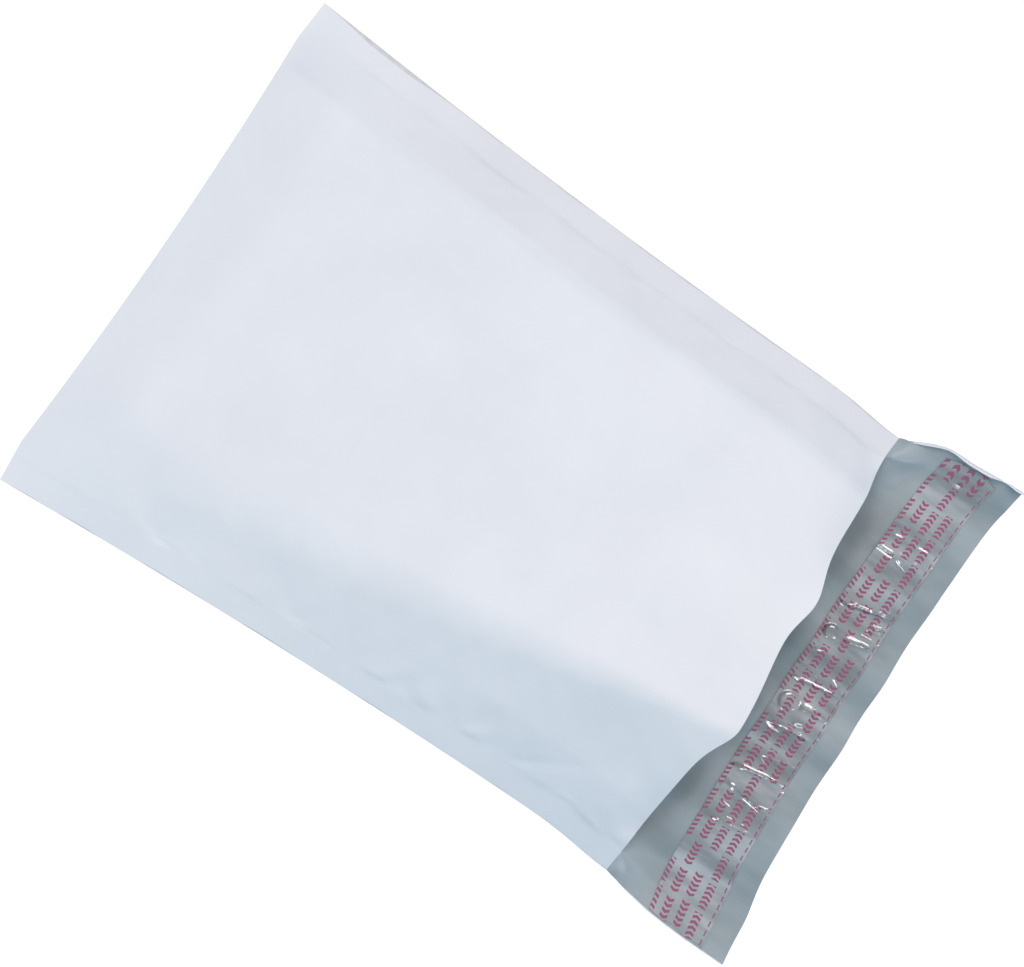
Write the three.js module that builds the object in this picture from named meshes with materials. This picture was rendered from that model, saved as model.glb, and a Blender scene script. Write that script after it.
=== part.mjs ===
// A padded poly mailer, empty, lying on its back with its closing flap laid open.
// Millimetres, +Z up, +X from the closed end towards the flap. The origin is on the table, under the
// middle of the outline.
import * as THREE from "three";
import { mergeVertices } from "three/addons/utils/BufferGeometryUtils.js";

const { clamp, lerp, smoothstep } = THREE.MathUtils;

// Outline, seen from above
const SEALED_LENGTH = 208; // closed end to mouth, along the side seals
const FLAP_LENGTH = 39.4; // mouth to the flap's free end, along the flap's sides
const CLOSED_WIDTH = 165; // across the closed end
const MOUTH_WIDTH = 149; // across the mouth, drawn in because the mouth gapes
const FLAP_WIDTH = 159; // across the flap's free end
const SIDE_HOLLOW = 2.1; // each side draws in this far between closed end and mouth
const FOLD_HOLLOW = 2.6; // the fold draws in this far between its corners
const CORNER_CUT = 1.9; // the fold's -Y corner is cut back this far
const CORNER_RUN = 12.5; // run along the fold over which that corner is cut back
const FLAP_HOLLOW = 3.8; // the flap's free end draws in this far between its corners
const FLAP_SKEW = 2.4; // the flap's -Y corner reaches this far past a square cut, its +Y corner short
const SEAL_WIDTH = 7; // heat-sealed band down each side

// Walls
const FILM = 0.25; // outer film
const LINING = 3.2; // bubble sheet, one layer
const CLEARANCE = 0.3; // between the film and the bubble sheet
const LINING_INSET = 4.5; // from a side seal to the edge of the bubble sheet
const LINING_WELD = 3; // side margin where the two layers of the bubble sheet are pressed together
const LINING_SETBACK = 5; // from the mouth back to the edge of the bubble sheet

// How full the mailer stands
const SIDE_RUN = 20.5; // run from the +Y edge up to the full height of the front panel
const SIDE_ROUNDING = 0.1; // share of that run, at its top, where the slope rounds off
const FOLD_RUN = 26; // run from the fold up to the full height of the front panel
const FOLD_ROUNDING = 0.3;
const CREST_AT_FOLD = -42; // the crest's place across the mailer at the closed end
const CREST_AT_MOUTH = -19; // the crest's place across the mailer at the mouth
const CREST_ROUNDING_AT_FOLD = 0.66; // share of the run from the -Y edge to the crest that rounds off
const CREST_ROUNDING_AT_MOUTH = 0.06;
const LOW_HEIGHT = 8; // the front panel above the table, near the closed end
const PANEL_HEIGHT = 14.5; // and along its +Y side
const PANEL_RISE_START = 15; // distances from the fold between which it rises from the one to the other
const PANEL_RISE_END = 75;
const MOUTH_HEIGHT = 33.5; // at the crest of the mouth
const GAPE_START = 30; // distance from the fold where the crest begins to rise
const GAPE_GROWTH = 1.3; // power at which it grows from there to the mouth, 1 for a straight line
const BACK_RUN = 17; // run from a side seal to where the back panel lies on the table
const POCKET_SLACK = 1; // least gap between the two lining layers where both are full
const MOUTH_SWAY = -2; // the mouth has slipped this far aside
const SWAY_RUN = 15; // distance from the mouth back along the seals over which that fades away
const FLAP_SWAY_RUN = 28; // and on along the flap
// Where the front panel's lip reaches past the seals, how far, and over what run on either side
const LIP_BULGES = [
  { at: -19, reach: 4.2, below: 9, above: 24 },
  { at: 21.5, reach: 3.2, below: 9, above: 9 },
];
const LIP_RIPPLE = 0.4; // height of the ripples in the front panel's lip
const LIP_RIPPLE_REACH = 30; // how far the ripples run back from the mouth
const LIP_RIPPLE_PITCH = 33;

// Flap
const FLAP_WAVE = 2.2; // height of the buckles across the flap
const FLAP_WAVE_PITCH = 30;
const FLAP_WAVE_WANDER = 6; // how far the buckles stray from an even pitch
const FLAP_WANDER_PITCH = 95;
const FLAP_WAVE_START = 14; // run from the mouth to the full height of the buckles
const FLAP_CURL = 2.2; // lift of the flap's two side edges
const FLAP_CURL_WIDTH = 12;
const LINER_START = 15; // mouth to the near edge of the release liner
const LINER_WIDTH = 17.4;
const LINER = 0.15; // release liner film
const ADHESIVE_MARGIN = 2.2; // from each edge of the liner to the adhesive below it
const ADHESIVE = 0.15;
const LAYER_GAP = 0.1; // between the layers stacked on the flap

// Fineness of the surfaces
const FOLD_STEPS = 7; // rows up the slope behind the fold
const BODY_STEPS = 15; // rows from there to the edge of the lining
const INNER_COLUMNS = 24; // columns between the two welds of the bubble sheet
const LINING_FOLD_ROW = 4; // row where the bubble sheet folds
const LINING_POCKET_ROW = 5; // row where the gap between its layers begins
const EDGE_CROWDING = 0.5; // 0 for even columns, 1 for columns crowded towards the sides

const X_FOLD = -(SEALED_LENGTH + FLAP_LENGTH + FLAP_SKEW) / 2;
const LAYER = CLEARANCE + LINING;

// Shape functions. u is the distance from the fold along a seal, and w the distance from the mouth
// along the flap.

// Parabola that leaves 0 at a slope and arrives level at 1.
function easeOut(q) {
  const left = 1 - clamp(q, 0, 1);
  return 1 - left * left;
}

// Straight slope from 0 that rounds off over its last part, the share rounding, to arrive level at 1.
function roundedRamp(q, rounding) {
  const slope = 2 / (2 - rounding);
  const left = 1 - clamp(q, 0, 1);
  return left > rounding ? slope * (1 - left) : 1 - (slope * left * left) / (2 * rounding);
}

function bodyHalfWidth(u) {
  const along = u / SEALED_LENGTH;
  return lerp(CLOSED_WIDTH, MOUTH_WIDTH, along) / 2 - SIDE_HOLLOW * 4 * along * (1 - along);
}

function flapHalfWidth(w) {
  return lerp(MOUTH_WIDTH, FLAP_WIDTH, easeOut(w / FLAP_LENGTH)) / 2;
}

// The crest bends across the mailer from the closed end to the mouth.
function crestAt(u) {
  const along = u / SEALED_LENGTH;
  return lerp(CREST_AT_FOLD, CREST_AT_MOUTH, along * along);
}

// Rise of the front panel over its edges, which lie on the table: straight slopes from both sides and
// the fold, up to a top that falls off evenly from the crest to the +Y side.
function rise(u, y) {
  const along = clamp((u - GAPE_START) / (SEALED_LENGTH - GAPE_START), 0, 1);
  const crestHeight = lerp(LOW_HEIGHT, MOUTH_HEIGHT, Math.pow(along, GAPE_GROWTH));
  const sideHeight = lerp(LOW_HEIGHT, PANEL_HEIGHT, smoothstep(u, PANEL_RISE_START, PANEL_RISE_END));
  const half = bodyHalfWidth(u);
  const crest = crestAt(u);
  const top = lerp(crestHeight, sideHeight, clamp((y - crest) / (half - SIDE_RUN - crest), 0, 1));
  const crestRounding = lerp(CREST_ROUNDING_AT_FOLD, CREST_ROUNDING_AT_MOUTH, u / SEALED_LENGTH);
  const fromBelow = roundedRamp((half + y) / (half + crest), crestRounding);
  const fromAbove = roundedRamp((half - y) / SIDE_RUN, SIDE_ROUNDING);
  return top * fromBelow * fromAbove * roundedRamp(u / FOLD_RUN, FOLD_ROUNDING);
}

// The back panel follows the front panel in the side seals, and comes down to the table between them.
function backHeight(u, y) {
  const inside = bodyHalfWidth(u) - SEAL_WIDTH - Math.abs(y);
  if (inside <= 0) return rise(u, y);
  const seal = Math.sign(y) * (bodyHalfWidth(u) - SEAL_WIDTH);
  return rise(u, seal) * (1 - easeOut(inside / BACK_RUN));
}

function room(u, y) {
  return rise(u, y) - backHeight(u, y);
}

// Share of its full thickness that each layer of the lining has room for.
function swell(u, y) {
  return Math.min(room(u, y) / (2 * LAYER + POCKET_SLACK), 1);
}

function lipRipple(u, y) {
  const fade = smoothstep(u, SEALED_LENGTH - LIP_RIPPLE_REACH, SEALED_LENGTH);
  return LIP_RIPPLE * fade * swell(u, y) * Math.cos((2 * Math.PI * y) / LIP_RIPPLE_PITCH);
}

function thickness(u, y) {
  return 2 * FILM + room(u, y) + lipRipple(u, y);
}

function backX(u, y) {
  const half = bodyHalfWidth(u);
  const across = y / half;
  const hollow = FOLD_HOLLOW * (1 - across * across);
  const cut = CORNER_CUT * Math.max(1 - (half + y) / CORNER_RUN, 0);
  return X_FOLD + u + (hollow + cut) * (1 - u / SEALED_LENGTH);
}

// The front panel's lip bulges forward between the seals, most at the crest.
function frontX(u, y) {
  const along = u / SEALED_LENGTH;
  let bulge = 0;
  for (const { at, reach, below, above } of LIP_BULGES) {
    const off = (y - at) / (y < at ? below : above);
    bulge += reach * Math.exp(-off * off);
  }
  return backX(u, y) + bulge * along * along * swell(u, y);
}

// Sideways slip at a distance from the fold, the flap included.
function sway(along) {
  const past = along - SEALED_LENGTH;
  const off = past / (past < 0 ? SWAY_RUN : FLAP_SWAY_RUN);
  return MOUTH_SWAY * Math.exp(-off * off);
}

// The film of the flap is drawn back between its corners, nearly as far beside them as in the middle and
// all of it before the release liner begins.
function flapX(w, y) {
  const across = y / flapHalfWidth(w);
  const drawn = FLAP_HOLLOW * (1 - across ** 4) * smoothstep(w, 0, LINER_START);
  return X_FOLD + SEALED_LENGTH + w - drawn - (FLAP_SKEW * across * w) / FLAP_LENGTH;
}

function flapHeight(w, y) {
  const leaving = 1 - smoothstep(w, 0, FLAP_WAVE_START);
  const atMouth = backHeight(SEALED_LENGTH, (y * MOUTH_WIDTH) / 2 / flapHalfWidth(w));
  const strayed = y + FLAP_WAVE_WANDER * Math.sin((2 * Math.PI * y) / FLAP_WANDER_PITCH);
  const wave = (FLAP_WAVE * (1 - Math.cos((2 * Math.PI * strayed) / FLAP_WAVE_PITCH))) / 2;
  const curl = FLAP_CURL * smoothstep(Math.abs(y), flapHalfWidth(w) - FLAP_CURL_WIDTH, flapHalfWidth(w));
  return leaving * atMouth + (1 - leaving) * (wave + curl);
}

// Rows run from the fold to the mouth, and on along the flap. The lining's edge lies on a row of its own.
const bodyRows = [];
for (let k = 0; k < FOLD_STEPS; k++) {
  bodyRows.push(FOLD_RUN * (1 - Math.cos((k * Math.PI) / (2 * FOLD_STEPS))));
}
for (let k = 0; k <= BODY_STEPS; k++) {
  bodyRows.push(lerp(FOLD_RUN, SEALED_LENGTH - LINING_SETBACK, k / BODY_STEPS));
}
bodyRows.push(SEALED_LENGTH);

const LINER_END = LINER_START + LINER_WIDTH;
const flapRows = [
  0,
  LINER_START / 3,
  (LINER_START * 2) / 3,
  LINER_START,
  LINER_START + ADHESIVE_MARGIN,
  LINER_START + LINER_WIDTH / 2,
  LINER_END - ADHESIVE_MARGIN,
  LINER_END,
  FLAP_LENGTH,
];
const LINER_ROWS = [3, 7]; // first and last flap row under the liner
const ADHESIVE_ROWS = [4, 6];

// Columns run from the -Y edge to the +Y edge. Each one gives its place across for a half width.
const columns = [
  (half) => -half,
  (half) => -half + SEAL_WIDTH,
  (half) => -half + SEAL_WIDTH + LINING_INSET,
];
for (let k = 0; k <= INNER_COLUMNS; k++) {
  const even = (2 * k) / INNER_COLUMNS - 1;
  const share = lerp(even, Math.sin((even * Math.PI) / 2), EDGE_CROWDING);
  columns.push((half) => share * (half - SEAL_WIDTH - LINING_INSET - LINING_WELD));
}
columns.push(
  (half) => half - SEAL_WIDTH - LINING_INSET,
  (half) => half - SEAL_WIDTH,
  (half) => half,
);
const SEAL_COLUMN = 1; // inner edge of the side seal
const LINING_COLUMN = 2; // edge of the bubble sheet
const LINING_POCKET_COLUMN = 3; // where the gap between its layers begins
const LAST_COLUMN = columns.length - 1;
const MOUTH_ROW = bodyRows.length - 1;
const LAST_FLAP_ROW = flapRows.length - 1;

// Points of the body's four surfaces, by row and column.

function bodyPlace(i, j) {
  const u = bodyRows[i];
  return { u, y: columns[j](bodyHalfWidth(u)) };
}

function frontPoint(i, j, below) {
  const { u, y } = bodyPlace(i, j);
  return new THREE.Vector3(frontX(u, y), y + sway(u), backHeight(u, y) + thickness(u, y) - below);
}

function backPoint(i, j, above) {
  const { u, y } = bodyPlace(i, j);
  return new THREE.Vector3(backX(u, y), y + sway(u), backHeight(u, y) + above);
}

function flapPoint(i, j, above) {
  const w = flapRows[i];
  const y = columns[j](flapHalfWidth(w));
  return new THREE.Vector3(flapX(w, y), y + sway(SEALED_LENGTH + w), flapHeight(w, y) + above);
}

// Collects a closed skin from patches of quads.
class Skin {
  constructor() {
    this.positions = [];
  }

  triangle(...corners) {
    for (const corner of corners) this.positions.push(corner.x, corner.y, corner.z);
  }

  // pointAt(i, j) over rows i and columns j. With rows along +X and columns along +Y the patch faces up.
  // The quads' diagonals are mirrored about the middle column.
  patch([firstRow, lastRow], [firstColumn, lastColumn], pointAt, reversed = false) {
    for (let i = firstRow; i < lastRow; i++) {
      for (let j = firstColumn; j < lastColumn; j++) {
        const ring = [pointAt(i, j), pointAt(i + 1, j), pointAt(i + 1, j + 1), pointAt(i, j + 1)];
        if (2 * j >= firstColumn + lastColumn) ring.push(ring.shift());
        if (reversed) ring.reverse();
        if (reversed) ring.unshift(ring.pop());
        this.triangle(ring[0], ring[1], ring[2]);
        this.triangle(ring[0], ring[2], ring[3]);
      }
    }
  }

  // The indexed geometry, without the triangles that close up to a line at a pinch.
  geometry() {
    const loose = new THREE.BufferGeometry();
    loose.setAttribute("position", new THREE.Float32BufferAttribute(this.positions, 3));
    const merged = mergeVertices(loose, 1e-3);
    const index = merged.index.array;
    const kept = [];
    for (let k = 0; k < index.length; k += 3) {
      const [a, b, c] = index.subarray(k, k + 3);
      if (a !== b && b !== c && c !== a) kept.push(a, b, c);
    }
    merged.setIndex(kept);
    merged.computeVertexNormals();
    return merged;
  }
}

// A flattened bag, open at its last row: an outer and an inner pair of surfaces, pinched together along
// the first pocket row and the two outermost pocket columns. The surfaces are functions of row and column.
// Returns what its back panel needs to be closed at the mouth.
function addBag(skin, rows, cols, pocketRow, pocketCol, { front, back, innerFront, innerBack }) {
  const [r0, r1] = rows;
  const [c0, c1] = cols;
  const pocketCols = [pocketCol, LAST_COLUMN - pocketCol];
  const pinched = (i, j) => i === pocketRow || j === pocketCols[0] || j === pocketCols[1];
  const midway = (i, j) => innerFront(i, j).add(innerBack(i, j)).multiplyScalar(0.5);
  const roof = (i, j) => (pinched(i, j) ? midway(i, j) : innerFront(i, j));
  const floor = (i, j) => (pinched(i, j) ? midway(i, j) : innerBack(i, j));
  const levels = [back, midway, front];
  const sideCols = [[c0, pocketCols[0]], [pocketCols[1], c1]];
  skin.patch(rows, cols, front);
  skin.patch(rows, cols, back, true);
  skin.patch(rows, [0, 2], (i, k) => levels[k](i, c0));
  skin.patch(rows, [0, 2], (i, k) => levels[k](i, c1), true);
  skin.patch(cols, [0, 2], (j, k) => levels[k](r0, j), true);
  skin.patch([pocketRow, r1], pocketCols, roof, true);
  skin.patch([pocketRow, r1], pocketCols, floor);
  skin.patch(pocketCols, [0, 1], (j, k) => (k ? front : roof)(r1, j));
  for (const side of sideCols) {
    skin.patch(side, [0, 1], (j, k) => (k ? front : midway)(r1, j));
  }
  return { floor, midway, pocketCols, sideCols };
}

// One film, folded at the closed end and sealed down both sides. The back panel runs on as the flap.
function outerEnvelope() {
  const skin = new Skin();
  const across = [0, LAST_COLUMN];
  const alongFlap = [0, LAST_FLAP_ROW];
  addBag(skin, [0, MOUTH_ROW], across, 1, SEAL_COLUMN, {
    front: (i, j) => frontPoint(i, j, 0),
    back: (i, j) => backPoint(i, j, 0),
    innerFront: (i, j) => frontPoint(i, j, FILM),
    innerBack: (i, j) => backPoint(i, j, FILM),
  });
  const inside = (i, j) => flapPoint(i, j, FILM);
  const outside = (i, j) => flapPoint(i, j, 0);
  skin.patch(alongFlap, across, inside);
  skin.patch(alongFlap, across, outside, true);
  skin.patch(alongFlap, [0, 1], (i, k) => (k ? inside : outside)(i, 0));
  skin.patch(alongFlap, [0, 1], (i, k) => (k ? inside : outside)(i, LAST_COLUMN), true);
  skin.patch(across, [0, 1], (j, k) => (k ? inside : outside)(LAST_FLAP_ROW, j));
  return skin.geometry();
}

// One bubble sheet, folded inside the envelope, with its margins pressed together beside the seals.
function bubbleLining() {
  const skin = new Skin();
  const edge = FILM + CLEARANCE;
  // A layer is thinner only where the envelope leaves less room for it.
  const inner = (i, j) => {
    const { u, y } = bodyPlace(i, j);
    return FILM + LAYER * swell(u, y);
  };
  const rows = [LINING_FOLD_ROW, MOUTH_ROW - 1];
  const cols = [LINING_COLUMN, LAST_COLUMN - LINING_COLUMN];
  const back = (i, j) => backPoint(i, j, edge);
  const bag = addBag(skin, rows, cols, LINING_POCKET_ROW, LINING_POCKET_COLUMN, {
    front: (i, j) => frontPoint(i, j, edge),
    back,
    innerFront: (i, j) => frontPoint(i, j, inner(i, j)),
    innerBack: (i, j) => backPoint(i, j, inner(i, j)),
  });
  const mouth = rows[1];
  skin.patch(bag.pocketCols, [0, 1], (j, k) => (k ? bag.floor : back)(mouth, j));
  for (const side of bag.sideCols) {
    skin.patch(side, [0, 1], (j, k) => (k ? bag.midway : back)(mouth, j));
  }
  return skin.geometry();
}

// A thin strip that lies along the flap's inner face, between two of the flap's rows.
function flapStrip([firstRow, lastRow], height, thick) {
  const skin = new Skin();
  const rows = [firstRow, lastRow];
  const across = [0, LAST_COLUMN];
  const upper = (i, j) => flapPoint(i, j, height + thick);
  const lower = (i, j) => flapPoint(i, j, height);
  skin.patch(rows, across, upper);
  skin.patch(rows, across, lower, true);
  skin.patch(rows, [0, 1], (i, k) => (k ? upper : lower)(i, 0));
  skin.patch(rows, [0, 1], (i, k) => (k ? upper : lower)(i, LAST_COLUMN), true);
  skin.patch(across, [0, 1], (j, k) => (k ? upper : lower)(firstRow, j), true);
  skin.patch(across, [0, 1], (j, k) => (k ? upper : lower)(lastRow, j));
  return skin.geometry();
}

const adhesiveHeight = FILM + LAYER_GAP;
const linerHeight = adhesiveHeight + ADHESIVE + LAYER_GAP;

function piece(name, geometry, color, roughness) {
  const mesh = new THREE.Mesh(geometry, new THREE.MeshStandardMaterial({ color, roughness, metalness: 0 }));
  mesh.name = name;
  return mesh;
}

const mailer = new THREE.Group();
mailer.add(
  piece("outer_envelope", outerEnvelope(), 0xe2e6ef, 0.45),
  piece("bubble_lining", bubbleLining(), 0xd5dadd, 0.3),
  piece("adhesive_strip", flapStrip(ADHESIVE_ROWS, adhesiveHeight, ADHESIVE), 0xc9cbb8, 0.35),
  piece("release_liner", flapStrip(LINER_ROWS, linerHeight, LINER), 0x9aa8ab, 0.15),
);

export default mailer;
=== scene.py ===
import math
from dataclasses import dataclass

import bmesh
import bpy
import numpy as np
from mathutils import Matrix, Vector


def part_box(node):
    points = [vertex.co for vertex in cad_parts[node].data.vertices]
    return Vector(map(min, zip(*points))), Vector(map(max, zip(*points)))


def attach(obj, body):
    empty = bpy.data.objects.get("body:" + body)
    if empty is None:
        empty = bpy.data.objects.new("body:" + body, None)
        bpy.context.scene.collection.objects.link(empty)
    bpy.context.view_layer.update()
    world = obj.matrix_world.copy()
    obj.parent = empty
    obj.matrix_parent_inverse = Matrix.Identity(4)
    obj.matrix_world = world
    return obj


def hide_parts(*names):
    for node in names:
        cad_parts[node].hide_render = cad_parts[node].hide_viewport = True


# A padded poly mailer, empty, lying on its back with its closing flap laid open.
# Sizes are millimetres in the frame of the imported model: +X from the closed end towards the flap, +Z up.
# Values that differ between the two sides are kept by the sign of y.

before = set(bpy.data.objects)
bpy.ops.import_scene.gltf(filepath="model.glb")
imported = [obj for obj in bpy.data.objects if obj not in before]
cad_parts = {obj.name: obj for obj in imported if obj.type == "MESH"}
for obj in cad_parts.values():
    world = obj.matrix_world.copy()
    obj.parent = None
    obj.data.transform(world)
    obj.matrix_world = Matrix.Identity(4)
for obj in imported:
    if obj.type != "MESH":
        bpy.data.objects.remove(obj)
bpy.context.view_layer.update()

MM = 0.001

# Outline, as in the solids apart from the cut at the +Y corner of the fold
SEALED_LENGTH = 208.0
FLAP_LENGTH = 39.4
CLOSED_WIDTH = 165.0
MOUTH_WIDTH = 149.0
FLAP_WIDTH = 159.0
SIDE_HOLLOW = 2.1
FOLD_HOLLOW = 2.6
CORNER_CUTS = {-1: 1.9, 1: 1.5}
CORNER_RUN = 12.5
FLAP_HOLLOW = 3.8
FLAP_HOLLOW_POWER = 4
FLAP_SKEW = 2.4
SEAL_WIDTH = 7.0
X_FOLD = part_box("outer_envelope")[0].x / MM

# Film drawn back around the +Y corner of the mouth, and fuller stretches of the flap's outline
CORNER_DRAW = 1.6
CORNER_DRAW_AT = 66.0
CORNER_DRAW_SPREAD = 9.0
CORNER_DRAW_RUN = 10.0
FLAP_LOBE = 1.6
FLAP_LOBE_AT = -66.0
FLAP_LOBE_SPREAD = 9.0
FLAP_BULGE = 2.0
FLAP_BULGE_AT = 12.5
FLAP_BULGE_RUN = 8.0
FLAP_BULGE_FROM = 0.55  # share of the half width

# Walls
FILM = 0.12
CLEARANCE = 0.3
LINING = 3.2
LAYER = CLEARANCE + LINING

# How full the mailer stands, as in the solids
SIDE_RUN = 20.5
SIDE_ROUNDING = 0.1
FOLD_RUN = 26.0
FOLD_ROUNDING = 0.3
CREST_AT_FOLD = -42.0
CREST_AT_MOUTH = -19.0
CREST_ROUNDING_AT_FOLD = 0.66
CREST_ROUNDING_AT_MOUTH = 0.06
LOW_HEIGHT = 8.0
PANEL_HEIGHT = 14.5
PANEL_RISE_START = 15.0
PANEL_RISE_END = 75.0
MOUTH_HEIGHT = 33.5
GAPE_START = 30.0
GAPE_GROWTH = 1.3
BACK_RUN = 17.0
POCKET_SLACK = 1.0
MOUTH_SWAY = -2.0
SWAY_RUN = 15.0
FLAP_SWAY_RUN = 28.0
LIP_BULGES = [(-19.0, 4.2, 9.0, 24.0), (21.5, 3.2, 9.0, 9.0)]  # place, reach, run below and run above
LIP_RIPPLE = 0.4
LIP_RIPPLE_REACH = 30.0
LIP_RIPPLE_PITCH = 33.0

# Flap, as in the solids
FLAP_WAVE = 2.2
FLAP_WAVE_PITCH = 30.0
FLAP_WAVE_WANDER = 6.0
FLAP_WANDER_PITCH = 95.0
FLAP_WAVE_START = 14.0
FLAP_CURL = 2.2
FLAP_CURL_WIDTH = 12.0
LINER_START = 15.0
LINER_WIDTH = 17.4
ADHESIVE_MARGIN = 2.2


# Shape functions. u is the distance from the fold along a seal, and w the distance from the mouth.

def lerp(a, b, t):
    return a + (b - a) * t


def smoothstep(x, low, high):
    t = np.clip((x - low) / (high - low), 0, 1)
    return t * t * (3 - 2 * t)


def bell(x, middle, spread):
    off = (x - middle) / spread
    return np.exp(-off * off)


def ease_out(q):
    left = 1 - np.clip(q, 0, 1)
    return 1 - left * left


def rounded_ramp(q, rounding):
    """Straight slope from 0 that rounds off over its last part to arrive level at 1."""
    slope = 2 / (2 - rounding)
    left = 1 - np.clip(q, 0, 1)
    return np.where(left > rounding, slope * (1 - left), 1 - slope * left * left / (2 * rounding))


def by_side(y, values):
    """Picks from values that are kept by side, for each place across the mailer."""
    return np.where(y < 0, values[-1], values[1])


def body_half(u):
    along = u / SEALED_LENGTH
    return lerp(CLOSED_WIDTH, MOUTH_WIDTH, along) / 2 - SIDE_HOLLOW * 4 * along * (1 - along)


def flap_half(w):
    return lerp(MOUTH_WIDTH, FLAP_WIDTH, ease_out(w / FLAP_LENGTH)) / 2


def crest_at(u):
    return lerp(CREST_AT_FOLD, CREST_AT_MOUTH, (u / SEALED_LENGTH) ** 2)


def inside_seal(u, y):
    """Distance inside the nearer side seal."""
    return body_half(u) - SEAL_WIDTH - np.abs(y)


def rise(u, y):
    """Height of the front panel over its edges: straight slopes up to a top that falls off to +Y."""
    along = np.clip((u - GAPE_START) / (SEALED_LENGTH - GAPE_START), 0, 1)
    crest_height = lerp(LOW_HEIGHT, MOUTH_HEIGHT, along ** GAPE_GROWTH)
    side_height = lerp(LOW_HEIGHT, PANEL_HEIGHT, smoothstep(u, PANEL_RISE_START, PANEL_RISE_END))
    half = body_half(u)
    crest = crest_at(u)
    top = lerp(crest_height, side_height, np.clip((y - crest) / (half - SIDE_RUN - crest), 0, 1))
    crest_rounding = lerp(CREST_ROUNDING_AT_FOLD, CREST_ROUNDING_AT_MOUTH, u / SEALED_LENGTH)
    from_below = rounded_ramp((half + y) / (half + crest), crest_rounding)
    from_above = rounded_ramp((half - y) / SIDE_RUN, SIDE_ROUNDING)
    return top * from_below * from_above * rounded_ramp(u / FOLD_RUN, FOLD_ROUNDING)


def back_height(u, y):
    """The back panel follows the front panel in the seals, and comes down to the table between them."""
    inside = inside_seal(u, y)
    seal = np.sign(y) * (body_half(u) - SEAL_WIDTH)
    return np.where(inside <= 0, rise(u, y), rise(u, seal) * (1 - ease_out(inside / BACK_RUN)))


def room(u, y):
    return rise(u, y) - back_height(u, y)


def swell(u, y):
    """Share of its full thickness that each layer of the lining has room for."""
    return np.minimum(room(u, y) / (2 * LAYER + POCKET_SLACK), 1)


def lip_ripple(u, y):
    fade = smoothstep(u, SEALED_LENGTH - LIP_RIPPLE_REACH, SEALED_LENGTH)
    return LIP_RIPPLE * fade * swell(u, y) * np.cos(2 * np.pi * y / LIP_RIPPLE_PITCH)


def thickness(u, y):
    return 2 * FILM + room(u, y) + lip_ripple(u, y)


def corner_draw(along, y):
    """How far the film is drawn back around the +Y corner of the mouth."""
    nearness = bell(along, SEALED_LENGTH, CORNER_DRAW_RUN) * bell(y, CORNER_DRAW_AT, CORNER_DRAW_SPREAD)
    return CORNER_DRAW * nearness


def back_x(u, y):
    half = body_half(u)
    across = y / half
    hollow = FOLD_HOLLOW * (1 - across * across)
    cut = by_side(y, CORNER_CUTS) * np.maximum(1 - (half - np.abs(y)) / CORNER_RUN, 0)
    return X_FOLD + u + (hollow + cut) * (1 - u / SEALED_LENGTH) - corner_draw(u, y)


def front_x(u, y):
    bulge = 0
    for place, reach, below, above in LIP_BULGES:
        bulge = bulge + reach * bell(y, place, np.where(y < place, below, above))
    return back_x(u, y) + bulge * (u / SEALED_LENGTH) ** 2 * swell(u, y)


def sway(along):
    """Sideways slip at a distance from the fold, the flap included."""
    run = np.where(along < SEALED_LENGTH, SWAY_RUN, FLAP_SWAY_RUN)
    return MOUTH_SWAY * bell(along, SEALED_LENGTH, run)


def flap_x(w, y):
    across = y / flap_half(w)
    drawn = FLAP_HOLLOW * (1 - across ** FLAP_HOLLOW_POWER) * smoothstep(w, 0, LINER_START)
    skew = FLAP_SKEW * across * w / FLAP_LENGTH
    lobe = FLAP_LOBE * bell(y, FLAP_LOBE_AT, FLAP_LOBE_SPREAD) * smoothstep(w, LINER_START, FLAP_LENGTH)
    return X_FOLD + SEALED_LENGTH + w - drawn - skew + lobe - corner_draw(SEALED_LENGTH + w, y)


def flap_height(w, y):
    half = flap_half(w)
    leaving = 1 - smoothstep(w, 0, FLAP_WAVE_START)
    at_mouth = back_height(SEALED_LENGTH, y * MOUTH_WIDTH / 2 / half)
    strayed = y + FLAP_WAVE_WANDER * np.sin(2 * np.pi * y / FLAP_WANDER_PITCH)
    wave = FLAP_WAVE * (1 - np.cos(2 * np.pi * strayed / FLAP_WAVE_PITCH)) / 2
    curl = FLAP_CURL * smoothstep(np.abs(y), half - FLAP_CURL_WIDTH, half)
    return leaving * at_mouth + (1 - leaving) * (wave + curl)


# Random waves

WAVE_COUNT = 14


def wave_field(seed, shortest, longest):
    """Smooth random height field of about unit height, made of crossed waves."""
    draw = np.random.default_rng(seed)
    lengths = draw.uniform(shortest, longest, WAVE_COUNT)
    turns = draw.uniform(0, 2 * np.pi, (WAVE_COUNT, 2))

    def height(x, y):
        total = 0
        for length, (heading, phase) in zip(lengths, turns):
            along = x * np.cos(heading) + y * np.sin(heading)
            total = total + np.cos(2 * np.pi * along / length + phase)
        return total / math.sqrt(WAVE_COUNT / 2)

    return height


long_waves = wave_field(seed=11, shortest=28.0, longest=70.0)
short_waves = wave_field(seed=12, shortest=7.0, longest=16.0)
flap_waves = wave_field(seed=13, shortest=8.0, longest=22.0)
bead_waves = wave_field(seed=14, shortest=3.0, longest=12.0)
edge_waves = wave_field(seed=15, shortest=6.0, longest=30.0)
liner_waves = wave_field(seed=16, shortest=5.0, longest=14.0)
seam_waves = wave_field(seed=17, shortest=9.0, longest=40.0)

# Distances between the two sides in a field, which keep them unlike
SEAM_APART = 90.0
BEAD_APART = 40.0
EDGE_APART = 60.0

# Fine relief of the front panel

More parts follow.
